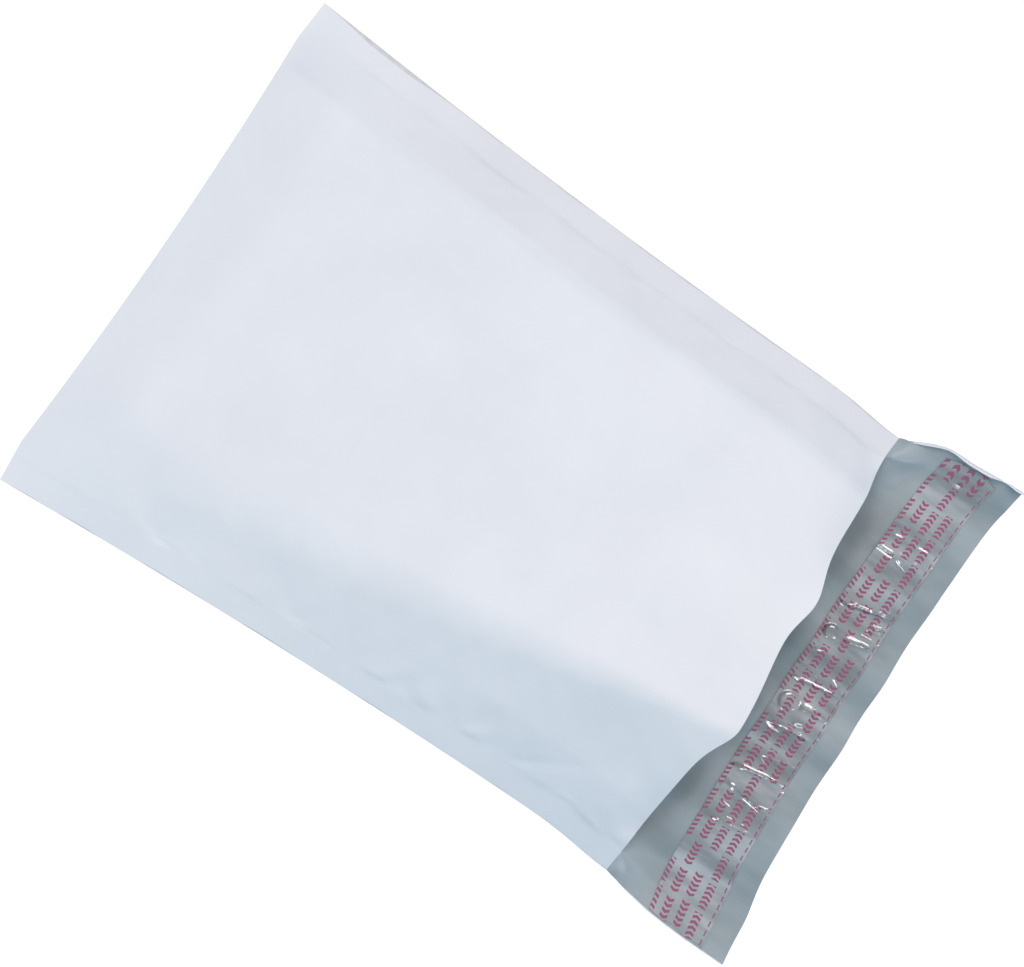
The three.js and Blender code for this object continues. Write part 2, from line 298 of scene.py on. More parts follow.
LOOSE_RUN = 17.0  # run from a seal to where the film waves freely
LONG_WAVE_HEIGHT = 0.22
SHORT_WAVE_HEIGHT = 0.035
PUCKERS = 46  # short creases that run up from each side seal
PUCKER_SEEDS = {-1: 21, 1: 22}
PUCKER_SPAN = (0.06, 0.99)  # shares of the sealed length
PUCKER_LENGTH = (8.0, 26.0)
PUCKER_HALF_WIDTH = (1.8, 4.0)
PUCKER_HEIGHT = 0.4
PUCKER_LEAN = 1.6  # how far a pucker slants along the seal for each unit that it runs up
PUCKER_START = 0.2  # share of its length over which it rises
PUCKER_FADE = 1.5  # power of its fall towards its far end
SEAM_STEPS = {-1: 0.1, 1: 0.26}  # step up along each seal's inner edge
SEAM_STEP_RUN = 1.4
SEAM_STEP_FADE = 14.0
SEAM_WANDER = 0.35
SEAM_UNEVEN = 0.5
SEAM_LEAST = 0.4
SEAM_START = 5.0
LIP_RUN = 10.0  # run before the mouth over which the edge turns down
LIP_FADE = 8.0  # and the run from a seal over which it begins to
LIP_CURL = 2.8
LIP_CURL_FROM = (16.0, 42.0)
LIP_SAG = 2.0
LIP_SAG_AT = -56.0
LIP_SAG_SPREAD = 9.0


def pucker_field(seed):
    """Creases along one side seal, by distance along it and inside it."""
    draw = np.random.default_rng(seed)
    places = draw.uniform(*PUCKER_SPAN, PUCKERS) * SEALED_LENGTH
    lengths = draw.uniform(*PUCKER_LENGTH, PUCKERS)
    widths = draw.uniform(*PUCKER_HALF_WIDTH, PUCKERS)
    heights = draw.uniform(-1, 1, PUCKERS) * PUCKER_HEIGHT
    leans = draw.uniform(-1, 1, PUCKERS) * PUCKER_LEAN

    def height(u, inside):
        total = 0
        for place, length, width, top, lean in zip(places, lengths, widths, heights, leans):
            run = np.clip(inside / length, 0, 1)
            crease = bell(u, place + lean * inside, width * (1 + run))
            total = total + top * crease * smoothstep(run, 0, PUCKER_START) * (1 - run) ** PUCKER_FADE
        return total

    return height


pucker_fields = {side: pucker_field(seed) for side, seed in PUCKER_SEEDS.items()}


def seam_step(u, y, inside):
    """Uneven step up from a seal, which fades out into the panel."""
    uneven = seam_waves(u, SEAM_APART * np.sign(y))
    past_seam = inside - SEAM_WANDER * (1 + uneven)
    step = smoothstep(past_seam, 0, SEAM_STEP_RUN) * (1 - smoothstep(past_seam, 0, SEAM_STEP_FADE))
    height = by_side(y, SEAM_STEPS) * np.maximum(1 + SEAM_UNEVEN * uneven, SEAM_LEAST)
    return height * step * smoothstep(u, 0, SEAM_START)


def lip_turn(u, y, inside):
    """How far the panel's edge comes down at the mouth: a curl on the +Y side, a sag near the -Y corner."""
    near_lip = np.clip(1 - (SEALED_LENGTH - u) / LIP_RUN, 0, 1)
    curl = LIP_CURL * near_lip ** 2 * smoothstep(y, *LIP_CURL_FROM)
    sag = LIP_SAG * near_lip * bell(y, LIP_SAG_AT, LIP_SAG_SPREAD)
    return (curl + sag) * smoothstep(inside, 0, LIP_FADE)


def front_relief(u, y):
    """Waves, puckers, seam steps and the turned lip of the front panel, all of which end at the seals."""
    x = X_FOLD + u
    inside = inside_seal(u, y)
    waves = LONG_WAVE_HEIGHT * long_waves(x, y) + SHORT_WAVE_HEIGHT * short_waves(x, y)
    loose = smoothstep(inside, 0, LOOSE_RUN)
    puckers = by_side(y, {side: field(u, inside) for side, field in pucker_fields.items()})
    past_fold = smoothstep(u, 0, FOLD_RUN)
    return past_fold * (loose * waves + puckers) + seam_step(u, y, inside) - lip_turn(u, y, inside)


# Fine relief of the flap and its liner

# Ridges: a point near the mouth, a point near the free end, and a share of height
RIDGES = [
    ((85.3, 50.7), (100.0, 54.5), 0.35),
    ((93.4, 50.0), (111.2, 50.3), 0.55),
    ((88.5, 45.6), (111.2, 43.8), 1.0),
    ((110.0, 43.6), (118.0, 48.6), 0.4),
    ((92.8, 25.6), (109.6, 28.8), 0.9),
    ((105.0, 24.7), (111.0, 24.6), 0.8),
    ((100.7, 16.5), (111.5, 18.6), 0.9),
    ((112.5, 11.7), (117.0, 26.2), 0.3),
    ((93.7, 0.9), (112.0, 2.3), 0.9),
    ((101.0, -6.0), (112.0, -5.7), 1.0),
    ((95.2, -14.0), (112.0, -12.3), 0.8),
    ((95.0, -25.2), (112.0, -21.0), 0.6),
    ((95.0, -29.7), (112.5, -27.4), 1.0),
    ((95.3, -34.7), (113.5, -37.5), 1.0),
    ((86.3, -46.4), (93.1, -44.2), 0.4),
    ((96.5, -45.7), (114.0, -44.0), 0.7),
    ((113.0, -44.0), (119.3, -44.2), 0.4),
]
RIDGE_HEIGHT = 1.3
RIDGE_HALF_WIDTH = 1.0
RIDGE_TAPER = 0.25
FLAP_RIDGE_SHARE = 0.45  # of a ridge's height that shows in the film of the flap
FINE_RIDGES = 46  # short wrinkles in the liner alone, between the large ridges
FINE_RIDGE_SEED = 18
FINE_RIDGE_HEIGHTS = (0.22, 0.5)
FINE_RIDGE_HALF_WIDTH = 0.45
FINE_RIDGE_LENGTHS = (3.0, 9.0)
FINE_RIDGE_SPAN = ((95.0, 110.0), (-44.0, 52.0))  # where they start, along and across
FINE_RIDGE_LEAN = 0.6  # radians off the flap's length
BLISTERS = [((97.4, 17.3), 2.3), ((98.6, -6.1), 3.1)]  # air under the liner: middle and radius
BLISTER_HEIGHT = 0.7
BLISTER_FLATNESS = 6
FLAP_CRINKLE = 0.12
TABLE_GAP = 0.02  # the film lies this close to the table
BEAD_RADIUS = {-1: 0.25, 1: 0.85}  # roll of the flap's two side edges
BEAD_START = 1.0
BEAD_END = 5.0
BEAD_UNEVEN = 0.5
BEAD_LIMITS = (0.35, 1.4)  # shares of the radius


def fine_ridges(seed):
    draw = np.random.default_rng(seed)
    starts = np.stack([draw.uniform(*span, FINE_RIDGES) for span in FINE_RIDGE_SPAN], -1)
    lengths = draw.uniform(*FINE_RIDGE_LENGTHS, FINE_RIDGES)
    leans = draw.uniform(-1, 1, FINE_RIDGES) * FINE_RIDGE_LEAN
    heights = draw.uniform(*FINE_RIDGE_HEIGHTS, FINE_RIDGES)
    ends = starts + lengths[:, None] * np.stack([np.cos(leans), np.sin(leans)], -1)
    return list(zip(starts, ends, heights))


def ridge_field(x, y, ridges, half_width):
    total = 0
    for (start_x, start_y), (end_x, end_y), height in ridges:
        run = math.hypot(end_x - start_x, end_y - start_y)
        way_x = (end_x - start_x) / run
        way_y = (end_y - start_y) / run
        along = ((x - start_x) * way_x + (y - start_y) * way_y) / run
        off = (x - start_x) * way_y - (y - start_y) * way_x
        ends = smoothstep(along, 0, RIDGE_TAPER) * (1 - smoothstep(along, 1 - RIDGE_TAPER, 1))
        total = total + height * ends * np.exp(-np.abs(off) / half_width)
    return total


def blister_field(x, y):
    total = 0
    for (middle_x, middle_y), radius in BLISTERS:
        off = np.hypot(x - middle_x, y - middle_y) / radius
        total = total + np.clip(1 - off ** BLISTER_FLATNESS, 0, 1)
    return total


def flap_point(w, y):
    """Underside of the flap's film at a place on the flat flap, its side edges rolled up and in."""
    x = flap_x(w, y)
    ridges = RIDGE_HEIGHT * FLAP_RIDGE_SHARE * ridge_field(x, y, RIDGES, RIDGE_HALF_WIDTH)
    settled = smoothstep(w, 0, FLAP_WAVE_START)
    z = flap_height(w, y) + settled * (ridges + FLAP_CRINKLE * flap_waves(x, y))
    z = np.maximum(z, TABLE_GAP)

    half = flap_half(w)
    side = np.sign(y)
    from_edge = half - np.abs(y)
    ragged = np.clip(1 + BEAD_UNEVEN * bead_waves(x, BEAD_APART * side), *BEAD_LIMITS)
    radius = by_side(y, BEAD_RADIUS) * ragged
    turn = np.clip(np.pi - from_edge / radius, 0, np.pi)
    stretch = (SEAL_WIDTH - radius) / (SEAL_WIDTH - np.pi * radius)
    flat_part = half - radius - (from_edge - np.pi * radius) * stretch
    rolled_y = np.where(turn > 0, half - radius + radius * np.sin(turn), flat_part)
    rolled = smoothstep(w, BEAD_START, BEAD_END) * (from_edge < SEAL_WIDTH)

    bulge = FLAP_BULGE * bell(w, FLAP_BULGE_AT, FLAP_BULGE_RUN) * smoothstep(y / half, FLAP_BULGE_FROM, 1)
    out_y = lerp(np.abs(y), rolled_y, rolled) * side + bulge
    out_z = z + rolled * radius * (1 - np.cos(turn))
    return np.stack([x, out_y + sway(SEALED_LENGTH + w), out_z], -1)


# Meshes

WELD_DIGITS = 4
CRISP_ANGLE = math.radians(55)
SEAL_CROWDING = 1.5
EDGE_CROWDING = 0.5


class Skin:
    """Collects grids of points as patches of quads, and welds them where they meet."""

    def __init__(self):
        self.points = []
        self.quads = []
        self.slots = []
        self.count = 0

    def patch(self, grid, slot=0):
        rows, columns = grid.shape[:2]
        index = self.count + np.arange(rows * columns).reshape(rows, columns)
        corners = [index[:-1, :-1], index[1:, :-1], index[1:, 1:], index[:-1, 1:]]
        quads = np.stack(corners, -1).reshape(-1, len(corners))
        self.points.append(grid.reshape(-1, 3))
        self.quads.append(quads)
        self.slots.append(np.full(len(quads), slot))
        self.count += rows * columns

    def slab(self, upper, lower):
        """A thin closed plate between two like grids."""
        both = np.stack([lower, upper])
        self.patch(upper)
        self.patch(lower)
        for wall in (both[:, 0], both[:, -1], both[:, :, 0], both[:, :, -1]):
            self.patch(wall)

    def piece(self, name, materials):
        points = np.concatenate(self.points)
        quads = np.concatenate(self.quads)
        slots = np.concatenate(self.slots)
        rounded = np.round(points, WELD_DIGITS)
        _, first, welded = np.unique(rounded, axis=0, return_index=True, return_inverse=True)
        faces = []
        face_slots = []
        for quad, slot in zip(welded.reshape(-1)[quads].tolist(), slots.tolist()):
            corners = list(dict.fromkeys(quad))
            if len(corners) > 2:
                faces.append(corners)
                face_slots.append(slot)
        mesh = bpy.data.meshes.new(name)
        mesh.from_pydata((points[first] * MM).tolist(), [], faces, shade_flat=False)
        mesh.polygons.foreach_set("material_index", face_slots)
        for material in materials:
            mesh.materials.append(material)
        self.sources = first
        return place_piece(name, mesh)


def place_piece(name, mesh):
    """Puts a closed mesh into the scene, its faces turned out and its cut edges left crisp."""
    shell = bmesh.new()
    shell.from_mesh(mesh)
    bmesh.ops.recalc_face_normals(shell, faces=shell.faces)
    shell.to_mesh(mesh)
    shell.free()
    mesh.set_sharp_from_angle(angle=CRISP_ANGLE)
    made = bpy.data.objects.new(name, mesh)
    bpy.context.scene.collection.objects.link(made)
    return made


def columns_across(half, margin, margin_columns, inner_columns, setbacks=(0, 0)):
    """Places across the film for each half width, crowded towards the margins at both edges.
    The edges may be set back from the outline, the -Y edge and the +Y edge by their own distance."""
    half = np.asarray(half, float)[:, None]
    step = np.linspace(0, 1, margin_columns, endpoint=False) ** SEAL_CROWDING
    even = np.linspace(-1, 1, inner_columns + 1)
    share = lerp(even, np.sin(even * np.pi / 2), EDGE_CROWDING)
    below, above = [np.zeros_like(half) + np.reshape(s, (-1, 1)) for s in setbacks]
    left = -half + lerp(below, margin, step)
    right = half - lerp(above, margin, step[::-1])
    return np.concatenate([left, share * (half - margin), right], 1)


def offset(grid, distance):
    """The grid moved along its normals, which point up where rows run along +X and columns along +Y."""
    normal = np.cross(np.gradient(grid, axis=0), np.gradient(grid, axis=1))
    return grid + distance * normal / np.linalg.norm(normal, axis=-1, keepdims=True)


# Outer film

FOLD_ROWS = 10
BODY_ROWS = 112
FLAP_ROWS = 44
INNER_COLUMNS = 130
SEAL_COLUMNS = 8
OUTSIDE, INSIDE, CUT = range(3)  # material slots
SLIVER = 1.1  # the back panel shows this far past the front panel along part of the +Y edge
SLIVER_SPAN = (0.0, 50.0)
SETBACK_START = 3.0
SETBACK_END = 6.0
RAGGED_EDGE = 0.25
RAGGED_MEAN = 0.4
RAGGED_UNEVEN = 0.5
RAGGED_MOST = 1.6

fold_rows = FOLD_RUN * (1 - np.cos(np.linspace(0, np.pi / 2, FOLD_ROWS, endpoint=False)))
body_rows = np.concatenate([fold_rows, np.linspace(FOLD_RUN, SEALED_LENGTH, BODY_ROWS + 1)])
flap_rows = np.linspace(0, FLAP_LENGTH, FLAP_ROWS + 1)[1:]
MOUTH = len(body_rows) - 1


def front_setback(u, side):
    """How far the front panel's cut edge lies inside the back panel's."""
    ends = smoothstep(u, 0, SETBACK_START) * (1 - smoothstep(u, SEALED_LENGTH - SETBACK_END, SEALED_LENGTH))
    uneven = RAGGED_MEAN + RAGGED_UNEVEN * edge_waves(u, EDGE_APART * side)
    ragged = RAGGED_EDGE * np.clip(uneven, 0, RAGGED_MOST)
    middle = (u - SLIVER_SPAN[0]) / (SLIVER_SPAN[1] - SLIVER_SPAN[0])
    sliver = SLIVER * np.sin(np.pi * np.clip(middle, 0, 1)) * (side > 0)
    return ends * (ragged + sliver)


def outer_film():
    u = body_rows[:, None]
    half = body_half(body_rows)
    y = columns_across(half, SEAL_WIDTH, SEAL_COLUMNS, INNER_COLUMNS)
    setbacks = (front_setback(body_rows, -1), front_setback(body_rows, 1))
    front_y = columns_across(half, SEAL_WIDTH, SEAL_COLUMNS, INNER_COLUMNS, setbacks)
    height = back_height(u, front_y) + thickness(u, front_y) + front_relief(u, front_y)
    front = np.stack([front_x(u, front_y), front_y + sway(u), height], -1)
    back = np.stack([back_x(u, y), y + sway(u), back_height(u, y)], -1)
    flap_y = columns_across(flap_half(flap_rows), SEAL_WIDTH, SEAL_COLUMNS, INNER_COLUMNS)
    back = np.concatenate([back, flap_point(flap_rows[:, None], flap_y)])
    inner_back = offset(back, FILM)

    pocket = slice(SEAL_COLUMNS, SEAL_COLUMNS + INNER_COLUMNS + 1)
    floor = inner_back[1:MOUTH + 1, pocket]
    roof = offset(front, -FILM)[1:, pocket]
    roof[0] = floor[0]
    roof[:, 0] = floor[:, 0]
    roof[:, -1] = floor[:, -1]
    rim = inner_back[MOUTH].copy()
    rim[pocket] = roof[-1]

    skin = Skin()
    skin.patch(front, OUTSIDE)
    skin.patch(back, OUTSIDE)
    skin.patch(np.stack([back[0], front[0]]), OUTSIDE)
    skin.patch(roof, INSIDE)
    skin.patch(floor, INSIDE)
    skin.patch(np.stack([rim, front[-1]]), OUTSIDE)
    skin.patch(inner_back[MOUTH:], INSIDE)
    skin.patch(np.stack([back[-1], inner_back[-1]]), OUTSIDE)
    for edge in (0, -1):
        ledge = front[:, edge].copy()
        ledge[:, 2] -= FILM
        ledge[0] = back[0, edge]
        ledge[-1] = inner_back[MOUTH, edge]
        lip = inner_back[:MOUTH + 1, edge].copy()
        lip[0] = back[0, edge]
        skin.patch(np.stack([back[:MOUTH + 1, edge], lip]), CUT)
        skin.patch(np.stack([lip, ledge]), CUT)
        skin.patch(np.stack([ledge, front[:, edge]]), CUT)
        skin.patch(np.stack([back[MOUTH:, edge], inner_back[MOUTH:, edge]]), OUTSIDE)
    return skin


# Where the bubble lining backs the outer film. Elsewhere the grey of its inner face shows through a little;
# the darker, bluer colour there is also painted shade on the slopes next to the seals.
BACKED_UNSHADED_FROM = (12.0, 15.5)  # distances inside a seal between which the lining begins and the painted shade ends
SEAL_BACKING = 0.3  # share by which a welded seal looks like backed film
SEAL_BLUR = 1.0
SLACK_SHADE_FROM = {-1: (120.0, 205.0), 1: (0.0, 8.0)}  # distances from the fold between which it falls slack and takes the painted shade


def backing_vs_painted_shade(film):
    """Share of backing at each point of the outer film. Where it is low, the film takes its bare colours,
    darker and bluer, which are also painted shade.
    """
    places = np.empty(3 * len(film.data.vertices))
    film.data.vertices.foreach_get("co", places)
    x, y = places.reshape(-1, 3)[:, :2].T / MM
    u = np.clip(x - X_FOLD, 0, SEALED_LENGTH)
    inside = inside_seal(u, y - sway(u))
    in_seal = 1 - smoothstep(inside, -SEAL_BLUR, SEAL_BLUR)
    backing = smoothstep(inside, *BACKED_UNSHADED_FROM) + SEAL_BACKING * in_seal
    slack = by_side(y, {side: smoothstep(u, *span) for side, span in SLACK_SHADE_FROM.items()})
    return lerp(1, backing, slack)


# Bubble sheet

LINING_INSET = 4.5
LINING_WELD = 3.0
LINING_SETBACK = 5.0
LINING_FOLD = 10.5
LINING_ROWS = 70
LINING_COLUMNS = 56
WELD_COLUMNS = 2
SHEET = 0.1  # film of the bubble sheet
BUBBLE_PITCH = 11.0
BUBBLE_RADIUS = 4.7
BUBBLE_ROUNDING = 0.8  # power that fills out a dome's shoulders
BUBBLE_SIDES = 16
BUBBLE_RINGS = 4
BUBBLE_SINK = 0.03
BUBBLE_LEAST = 0.55  # share of the full thickness below which a bubble has gone flat
BUBBLES_EACH_SIDE = 8  # of the middle line, at most


def lining_front(u, y, below):
    height = back_height(u, y) + thickness(u, y) + front_relief(u, y) - FILM - CLEARANCE - below
    return np.stack([front_x(u, y), y + sway(u), height], -1)


def lining_back(u, y, above):
    return np.stack([back_x(u, y), y + sway(u), back_height(u, y) + FILM + CLEARANCE + above], -1)


def lining_half(u):
    return body_half(u) - SEAL_WIDTH - LINING_INSET


def bubbles(skin, layer):
    """Domes in staggered rows on one layer of the sheet, facing into the pocket."""
    angle = np.linspace(0, 2 * np.pi, BUBBLE_SIDES + 1)
    fall = np.linspace(0, np.pi / 2, BUBBLE_RINGS + 1)[:, None]
    ring = np.concatenate([np.sin(fall) * BUBBLE_RADIUS, [[0]]])
    dome = np.concatenate([np.cos(fall) ** BUBBLE_ROUNDING + 0 * angle, [0 * angle]])
    away_u = ring * np.cos(angle)
    away_y = ring * np.sin(angle)
    row_pitch = BUBBLE_PITCH * math.sqrt(3) / 2
    last = SEALED_LENGTH - LINING_SETBACK - BUBBLE_RADIUS
    for k, u in enumerate(np.arange(LINING_FOLD + BUBBLE_PITCH, last, row_pitch)):
        reach = float(lining_half(u)) - LINING_WELD - BUBBLE_RADIUS
        shift = BUBBLE_PITCH / 2 * (k % 2)
        for y in np.arange(shift - BUBBLE_PITCH * BUBBLES_EACH_SIDE, reach, BUBBLE_PITCH):
            share = float(swell(u, y))
            if y < -reach or share < BUBBLE_LEAST:
                continue
            height = LAYER * share - CLEARANCE - SHEET
            skin.patch(layer(u + away_u, y + away_y, SHEET - BUBBLE_SINK + dome * height))


def bubble_sheet():
    rows = np.linspace(LINING_FOLD, SEALED_LENGTH - LINING_SETBACK, LINING_ROWS + 1)
    u = rows[:, None]
    y = columns_across(lining_half(rows), LINING_WELD, WELD_COLUMNS, LINING_COLUMNS)
    front = lining_front(u, y, 0)
    back = lining_back(u, y, 0)
    floor = lining_back(u, y, SHEET)
    roof = lining_front(u, y, SHEET)
    pocket = slice(WELD_COLUMNS, WELD_COLUMNS + LINING_COLUMNS + 1)
    middle = (front + back) / 2
    skin = Skin()
    skin.patch(front)
    skin.patch(back)
    skin.patch(np.stack([back[0], front[0]]))
    skin.patch(np.stack([back[:, 0], front[:, 0]]))
    skin.patch(np.stack([back[:, -1], front[:, -1]]))
    inner_roof = roof[1:, pocket].copy()
    inner_floor = floor[1:, pocket].copy()
    for cut in ((0, slice(None)), (slice(None), 0), (slice(None), -1)):
        inner_roof[cut] = middle[1:, pocket][cut]
        inner_floor[cut] = middle[1:, pocket][cut]
    skin.patch(inner_roof)
    skin.patch(inner_floor)
    upper = middle[-1].copy()
    lower = middle[-1].copy()
    upper[pocket] = inner_roof[-1]
    lower[pocket] = inner_floor[-1]
    skin.patch(np.stack([upper, front[-1]]))
    skin.patch(np.stack([back[-1], lower]))
    bubbles(skin, lining_front)
    bubbles(skin, lining_back)
    return skin


# Adhesive and liner on the flap

STRIP_GAP = 0.03  # between the layers on the flap
STRIP_ROWS = 36
STRIP_INSET = {-1: 1.2, 1: 3.8}  # ends of the strips inside the rolled edges, on the flat flap
ADHESIVE = 0.08
ADHESIVE_HEIGHT = FILM + STRIP_GAP
ADHESIVE_COLUMNS = 175
LINER = 0.08
LINER_HEIGHT = ADHESIVE_HEIGHT + ADHESIVE + STRIP_GAP
LINER_COLUMNS = 700
LINER_CRINKLE = 0.03
LINER_LIFT = 1.5  # crinkles by which the liner's middle level stands off the adhesive


def strip_grid(first, last, columns):
    w = np.linspace(first, last, STRIP_ROWS + 1)[:, None]
    half = flap_half(w)
    share = np.linspace(0, 1, columns + 1)
    y = lerp(-half + STRIP_INSET[-1], half - STRIP_INSET[1], share)
    return w + 0 * y, y


def raised(grid, height):
    lifted = grid.copy()
    lifted[..., 2] += height
    return lifted


def adhesive_band():
    start = LINER_START + ADHESIVE_MARGIN
    end = LINER_START + LINER_WIDTH - ADHESIVE_MARGIN
    bed = flap_point(*strip_grid(start, end, ADHESIVE_COLUMNS))
    skin = Skin()
    skin.slab(raised(bed, ADHESIVE_HEIGHT + ADHESIVE), raised(bed, ADHESIVE_HEIGHT))
    return skin


def liner_film():
    """The liner's skin, and the place on the flat liner of each point of its two faces."""
    w, y = strip_grid(LINER_START, LINER_START + LINER_WIDTH, LINER_COLUMNS)
    bed = flap_point(w, y)
    x = bed[..., 0]
    large = RIDGE_HEIGHT * (1 - FLAP_RIDGE_SHARE) * ridge_field(x, y, RIDGES, RIDGE_HALF_WIDTH)
    fine = ridge_field(x, y, fine_ridges(FINE_RIDGE_SEED), FINE_RIDGE_HALF_WIDTH)
    own = large + fine + BLISTER_HEIGHT * blister_field(x, y)
    lift = own + LINER_CRINKLE * (liner_waves(x, y) + LINER_LIFT)
    skin = Skin()
    skin.slab(raised(bed, LINER_HEIGHT + lift + LINER), raised(bed, LINER_HEIGHT + lift))
    flat = np.stack([y, w - LINER_START, 0 * w], -1).reshape(-1, 3)
    return skin, flat


# Materials

WHITE = (1.0, 1.0, 1.0)
MIX_FACTOR, MIX_FIRST, MIX_SECOND, MIX_RESULT = 0, 6, 7, 2  # colour sockets of a mix node
CLOUD_DETAIL = 3.0
SPOT_DETAIL = 2.0


class Nodes:
    """A node tree, with short ways to add and join nodes."""

    def __init__(self, tree):
        self.tree = tree

    def node(self, kind, **settings):
        made = self.tree.nodes.new(kind)
        for name, value in settings.items():
            setattr(made, name, value)
        return made

    def join(self, source, target):
        self.tree.links.new(source, target)

    def blend(self, factor, first, second):
        """A colour between two colours, each a constant or a socket."""
        made = self.node("ShaderNodeMix", data_type="RGBA")
        self.join(factor, made.inputs[MIX_FACTOR])
        for slot, colour in ((made.inputs[MIX_FIRST], first), (made.inputs[MIX_SECOND], second)):
            if isinstance(colour, tuple):
                slot.default_value = (*colour, 1)
            else:
                self.join(colour, slot)
        return made.outputs[MIX_RESULT]

    def seen_directly(self):
        """1 for what the camera sees, straight, reflected or through glass, and 0 for light that falls."""
        path = self.node("ShaderNodeLightPath").outputs
        seen = Signal(self, path["Is Camera Ray"])
        for name in ("Is Glossy Ray", "Is Transmission Ray"):
            seen = seen.math("MAXIMUM", Signal(self, path[name]))
        return seen


class Signal:
    """A number carried by nodes, so that it can be written as a formula."""

    def __init__(self, nodes, socket):
        self.nodes = nodes
        self.socket = socket

    def math(self, operation, *others):
        made = self.nodes.node("ShaderNodeMath", operation=operation)
        for slot, value in zip(made.inputs, (self, *others)):
            if isinstance(value, Signal):
                self.nodes.join(value.socket, slot)
            else:
                slot.default_value = value
        return Signal(self.nodes, made.outputs[0])

    def __add__(self, other):
        return self.math("ADD", other)

    def __sub__(self, other):
        return self.math("SUBTRACT", other)

    def __mul__(self, other):
        return self.math("MULTIPLY", other)

    def __truediv__(self, other):
        return self.math("DIVIDE", other)

    def __abs__(self):
        return self.math("ABSOLUTE")

    def __mod__(self, period):
        return self.math("FLOORED_MODULO", period)

    def __floor__(self):
        return self.math("FLOOR")

    def below(self, limit):
        return self.math("LESS_THAN", limit)


class Shader(Nodes):
    """A material's nodes, around the shader of its surface."""

    def __init__(self, name):
        self.material = bpy.data.materials.new(name)
        self.material.use_nodes = True
        super().__init__(self.material.node_tree)
        self.surface = self.tree.nodes["Principled BSDF"].inputs
        self.place = self.node("ShaderNodeTexCoord").outputs["Object"]

    def noise(self, size, detail, stretch=1.0):
        """Soft random values about 0.5, in spots of that size in millimetres, drawn out along X."""
        drawn_out = self.node("ShaderNodeMapping")
        drawn_out.inputs["Scale"].default_value = (1 / stretch, 1, 1)
        self.join(self.place, drawn_out.inputs["Vector"])
        made = self.node("ShaderNodeTexNoise")
        made.inputs["Scale"].default_value = 1 / (size * MM)
        made.inputs["Detail"].default_value = detail
        self.join(drawn_out.outputs["Vector"], made.inputs["Vector"])
        return made.outputs["Fac"]

    def spread(self, factor, low, high, start=0.25, end=0.75):
        """Maps a factor from start and end to low and high."""
        made = self.node("ShaderNodeMapRange", interpolation_type="SMOOTHSTEP")
        for name, value in (("From Min", start), ("From Max", end), ("To Min", low), ("To Max", high)):
            made.inputs[name].default_value = value
        self.join(factor, made.inputs["Value"])
        return made.outputs["Result"]

    def bump(self, height, depth, strength):
        """Fine relief: height from 0 to 1 stands for a depth in millimetres."""
        made = self.node("ShaderNodeBump")
        made.inputs["Distance"].default_value = depth * MM
        made.inputs["Strength"].default_value = strength
        self.join(height, made.inputs["Height"])
        self.join(made.outputs["Normal"], self.surface["Normal"])

    def coloured(self, colour):
        """The finished material, with its colour from a socket."""
        self.join(colour, self.surface["Base Color"])
        return self.material


@dataclass
class Look:
    """How a film looks. Sizes and the depth of the grain are millimetres."""

    colours: tuple  # the darkest and the palest, which mix in soft clouds
    clouds: float  # size of the clouds
    spots: float  # size of the spots that differ in roughness
    roughness: tuple
    grain: float  # size of the finest relief
    depth: float
    detail: float = 3.0
    strength: float = 0.5
    stretch: float = 1.0  # of the clouds, along X
    ior: float = 1.5
    specular: float = 0.5


WHITE_FILM = Look(
    colours=((0.745, 0.775, 0.845), (0.775, 0.805, 0.875)),
    clouds=26.0,
    spots=9.0,
    roughness=(0.5, 0.6),
    grain=1.6,
    depth=0.05,
    detail=4.0,
    specular=0.25,
)
BARE_SHADED_COLOURS = ((0.686, 0.725, 0.804), (0.714, 0.753, 0.832))  # of white film with no lining behind it, darker and bluer as painted shade on the slopes next to the seals
EDGE_FILM = Look(
    colours=((0.52, 0.545, 0.585), (0.62, 0.642, 0.68)),
    clouds=4.0,
    spots=3.0,
    roughness=(0.45, 0.6),
    grain=0.8,
    depth=0.05,
    specular=0.25,
)
# Its clouds, drawn out along X, are partly the film's own uneven tone and partly painted reflection:
# lighter and darker bands in its gloss.
GREY_FILM = Look(
    colours=((0.228, 0.287, 0.324), (0.338, 0.408, 0.462)),
    clouds=13.0,
    stretch=3.0,
    spots=7.0,
    roughness=(0.3, 0.42),
    grain=1.4,
    depth=0.04,
    detail=4.0,
    specular=0.25,
)
BUBBLE_FILM = Look(
    colours=((0.72, 0.73, 0.73), (0.84, 0.85, 0.84)),
    clouds=12.0,
    spots=4.0,
    roughness=(0.12, 0.22),
    grain=0.9,
    depth=0.04,
    strength=0.6,
)
ADHESIVE_MELT = Look(
    colours=((0.5, 0.52, 0.4), (0.6, 0.61, 0.5)),
    clouds=5.0,
    spots=3.0,
    roughness=(0.25, 0.45),
    grain=1.1,
    depth=0.06,
    strength=0.6,
)
# Its clouds, drawn out along X and spread from dark to pale, are partly the film's own uneven tone and
# partly painted reflection of brighter and darker surroundings in its gloss.
LINER_FILM = Look(
    colours=((0.138, 0.178, 0.21), (0.39, 0.45, 0.5)),
    clouds=6.0,
    stretch=4.0,
    spots=5.0,
    roughness=(0.07, 0.16),
    grain=2.2,
    depth=0.04,
    ior=1.8,
)
INK = (0.25, 0.035, 0.125)

# Liner print: rows of chevrons in groups, every other run of groups pointing back, and a dashed line
ROW_PITCH = 4.2
FIRST_ROW = 0.2
LAST_ROW = 3
MARK_HEIGHT = 2.3
MARK_PITCH = 1.44
MARK_STROKE = 0.82
MARK_SLOPE = 0.45
GROUP_PITCH = 8.64
GROUP_LENGTH = 7.3
PHRASE_START = -53.4
PHRASE_PITCH = 49.5
PHRASE_LENGTH = 43.2
DASH_LINE = 16.5
DASH_WIDTH = 0.38
DASH_PITCH = 2.6
DASH_LENGTH = 1.6


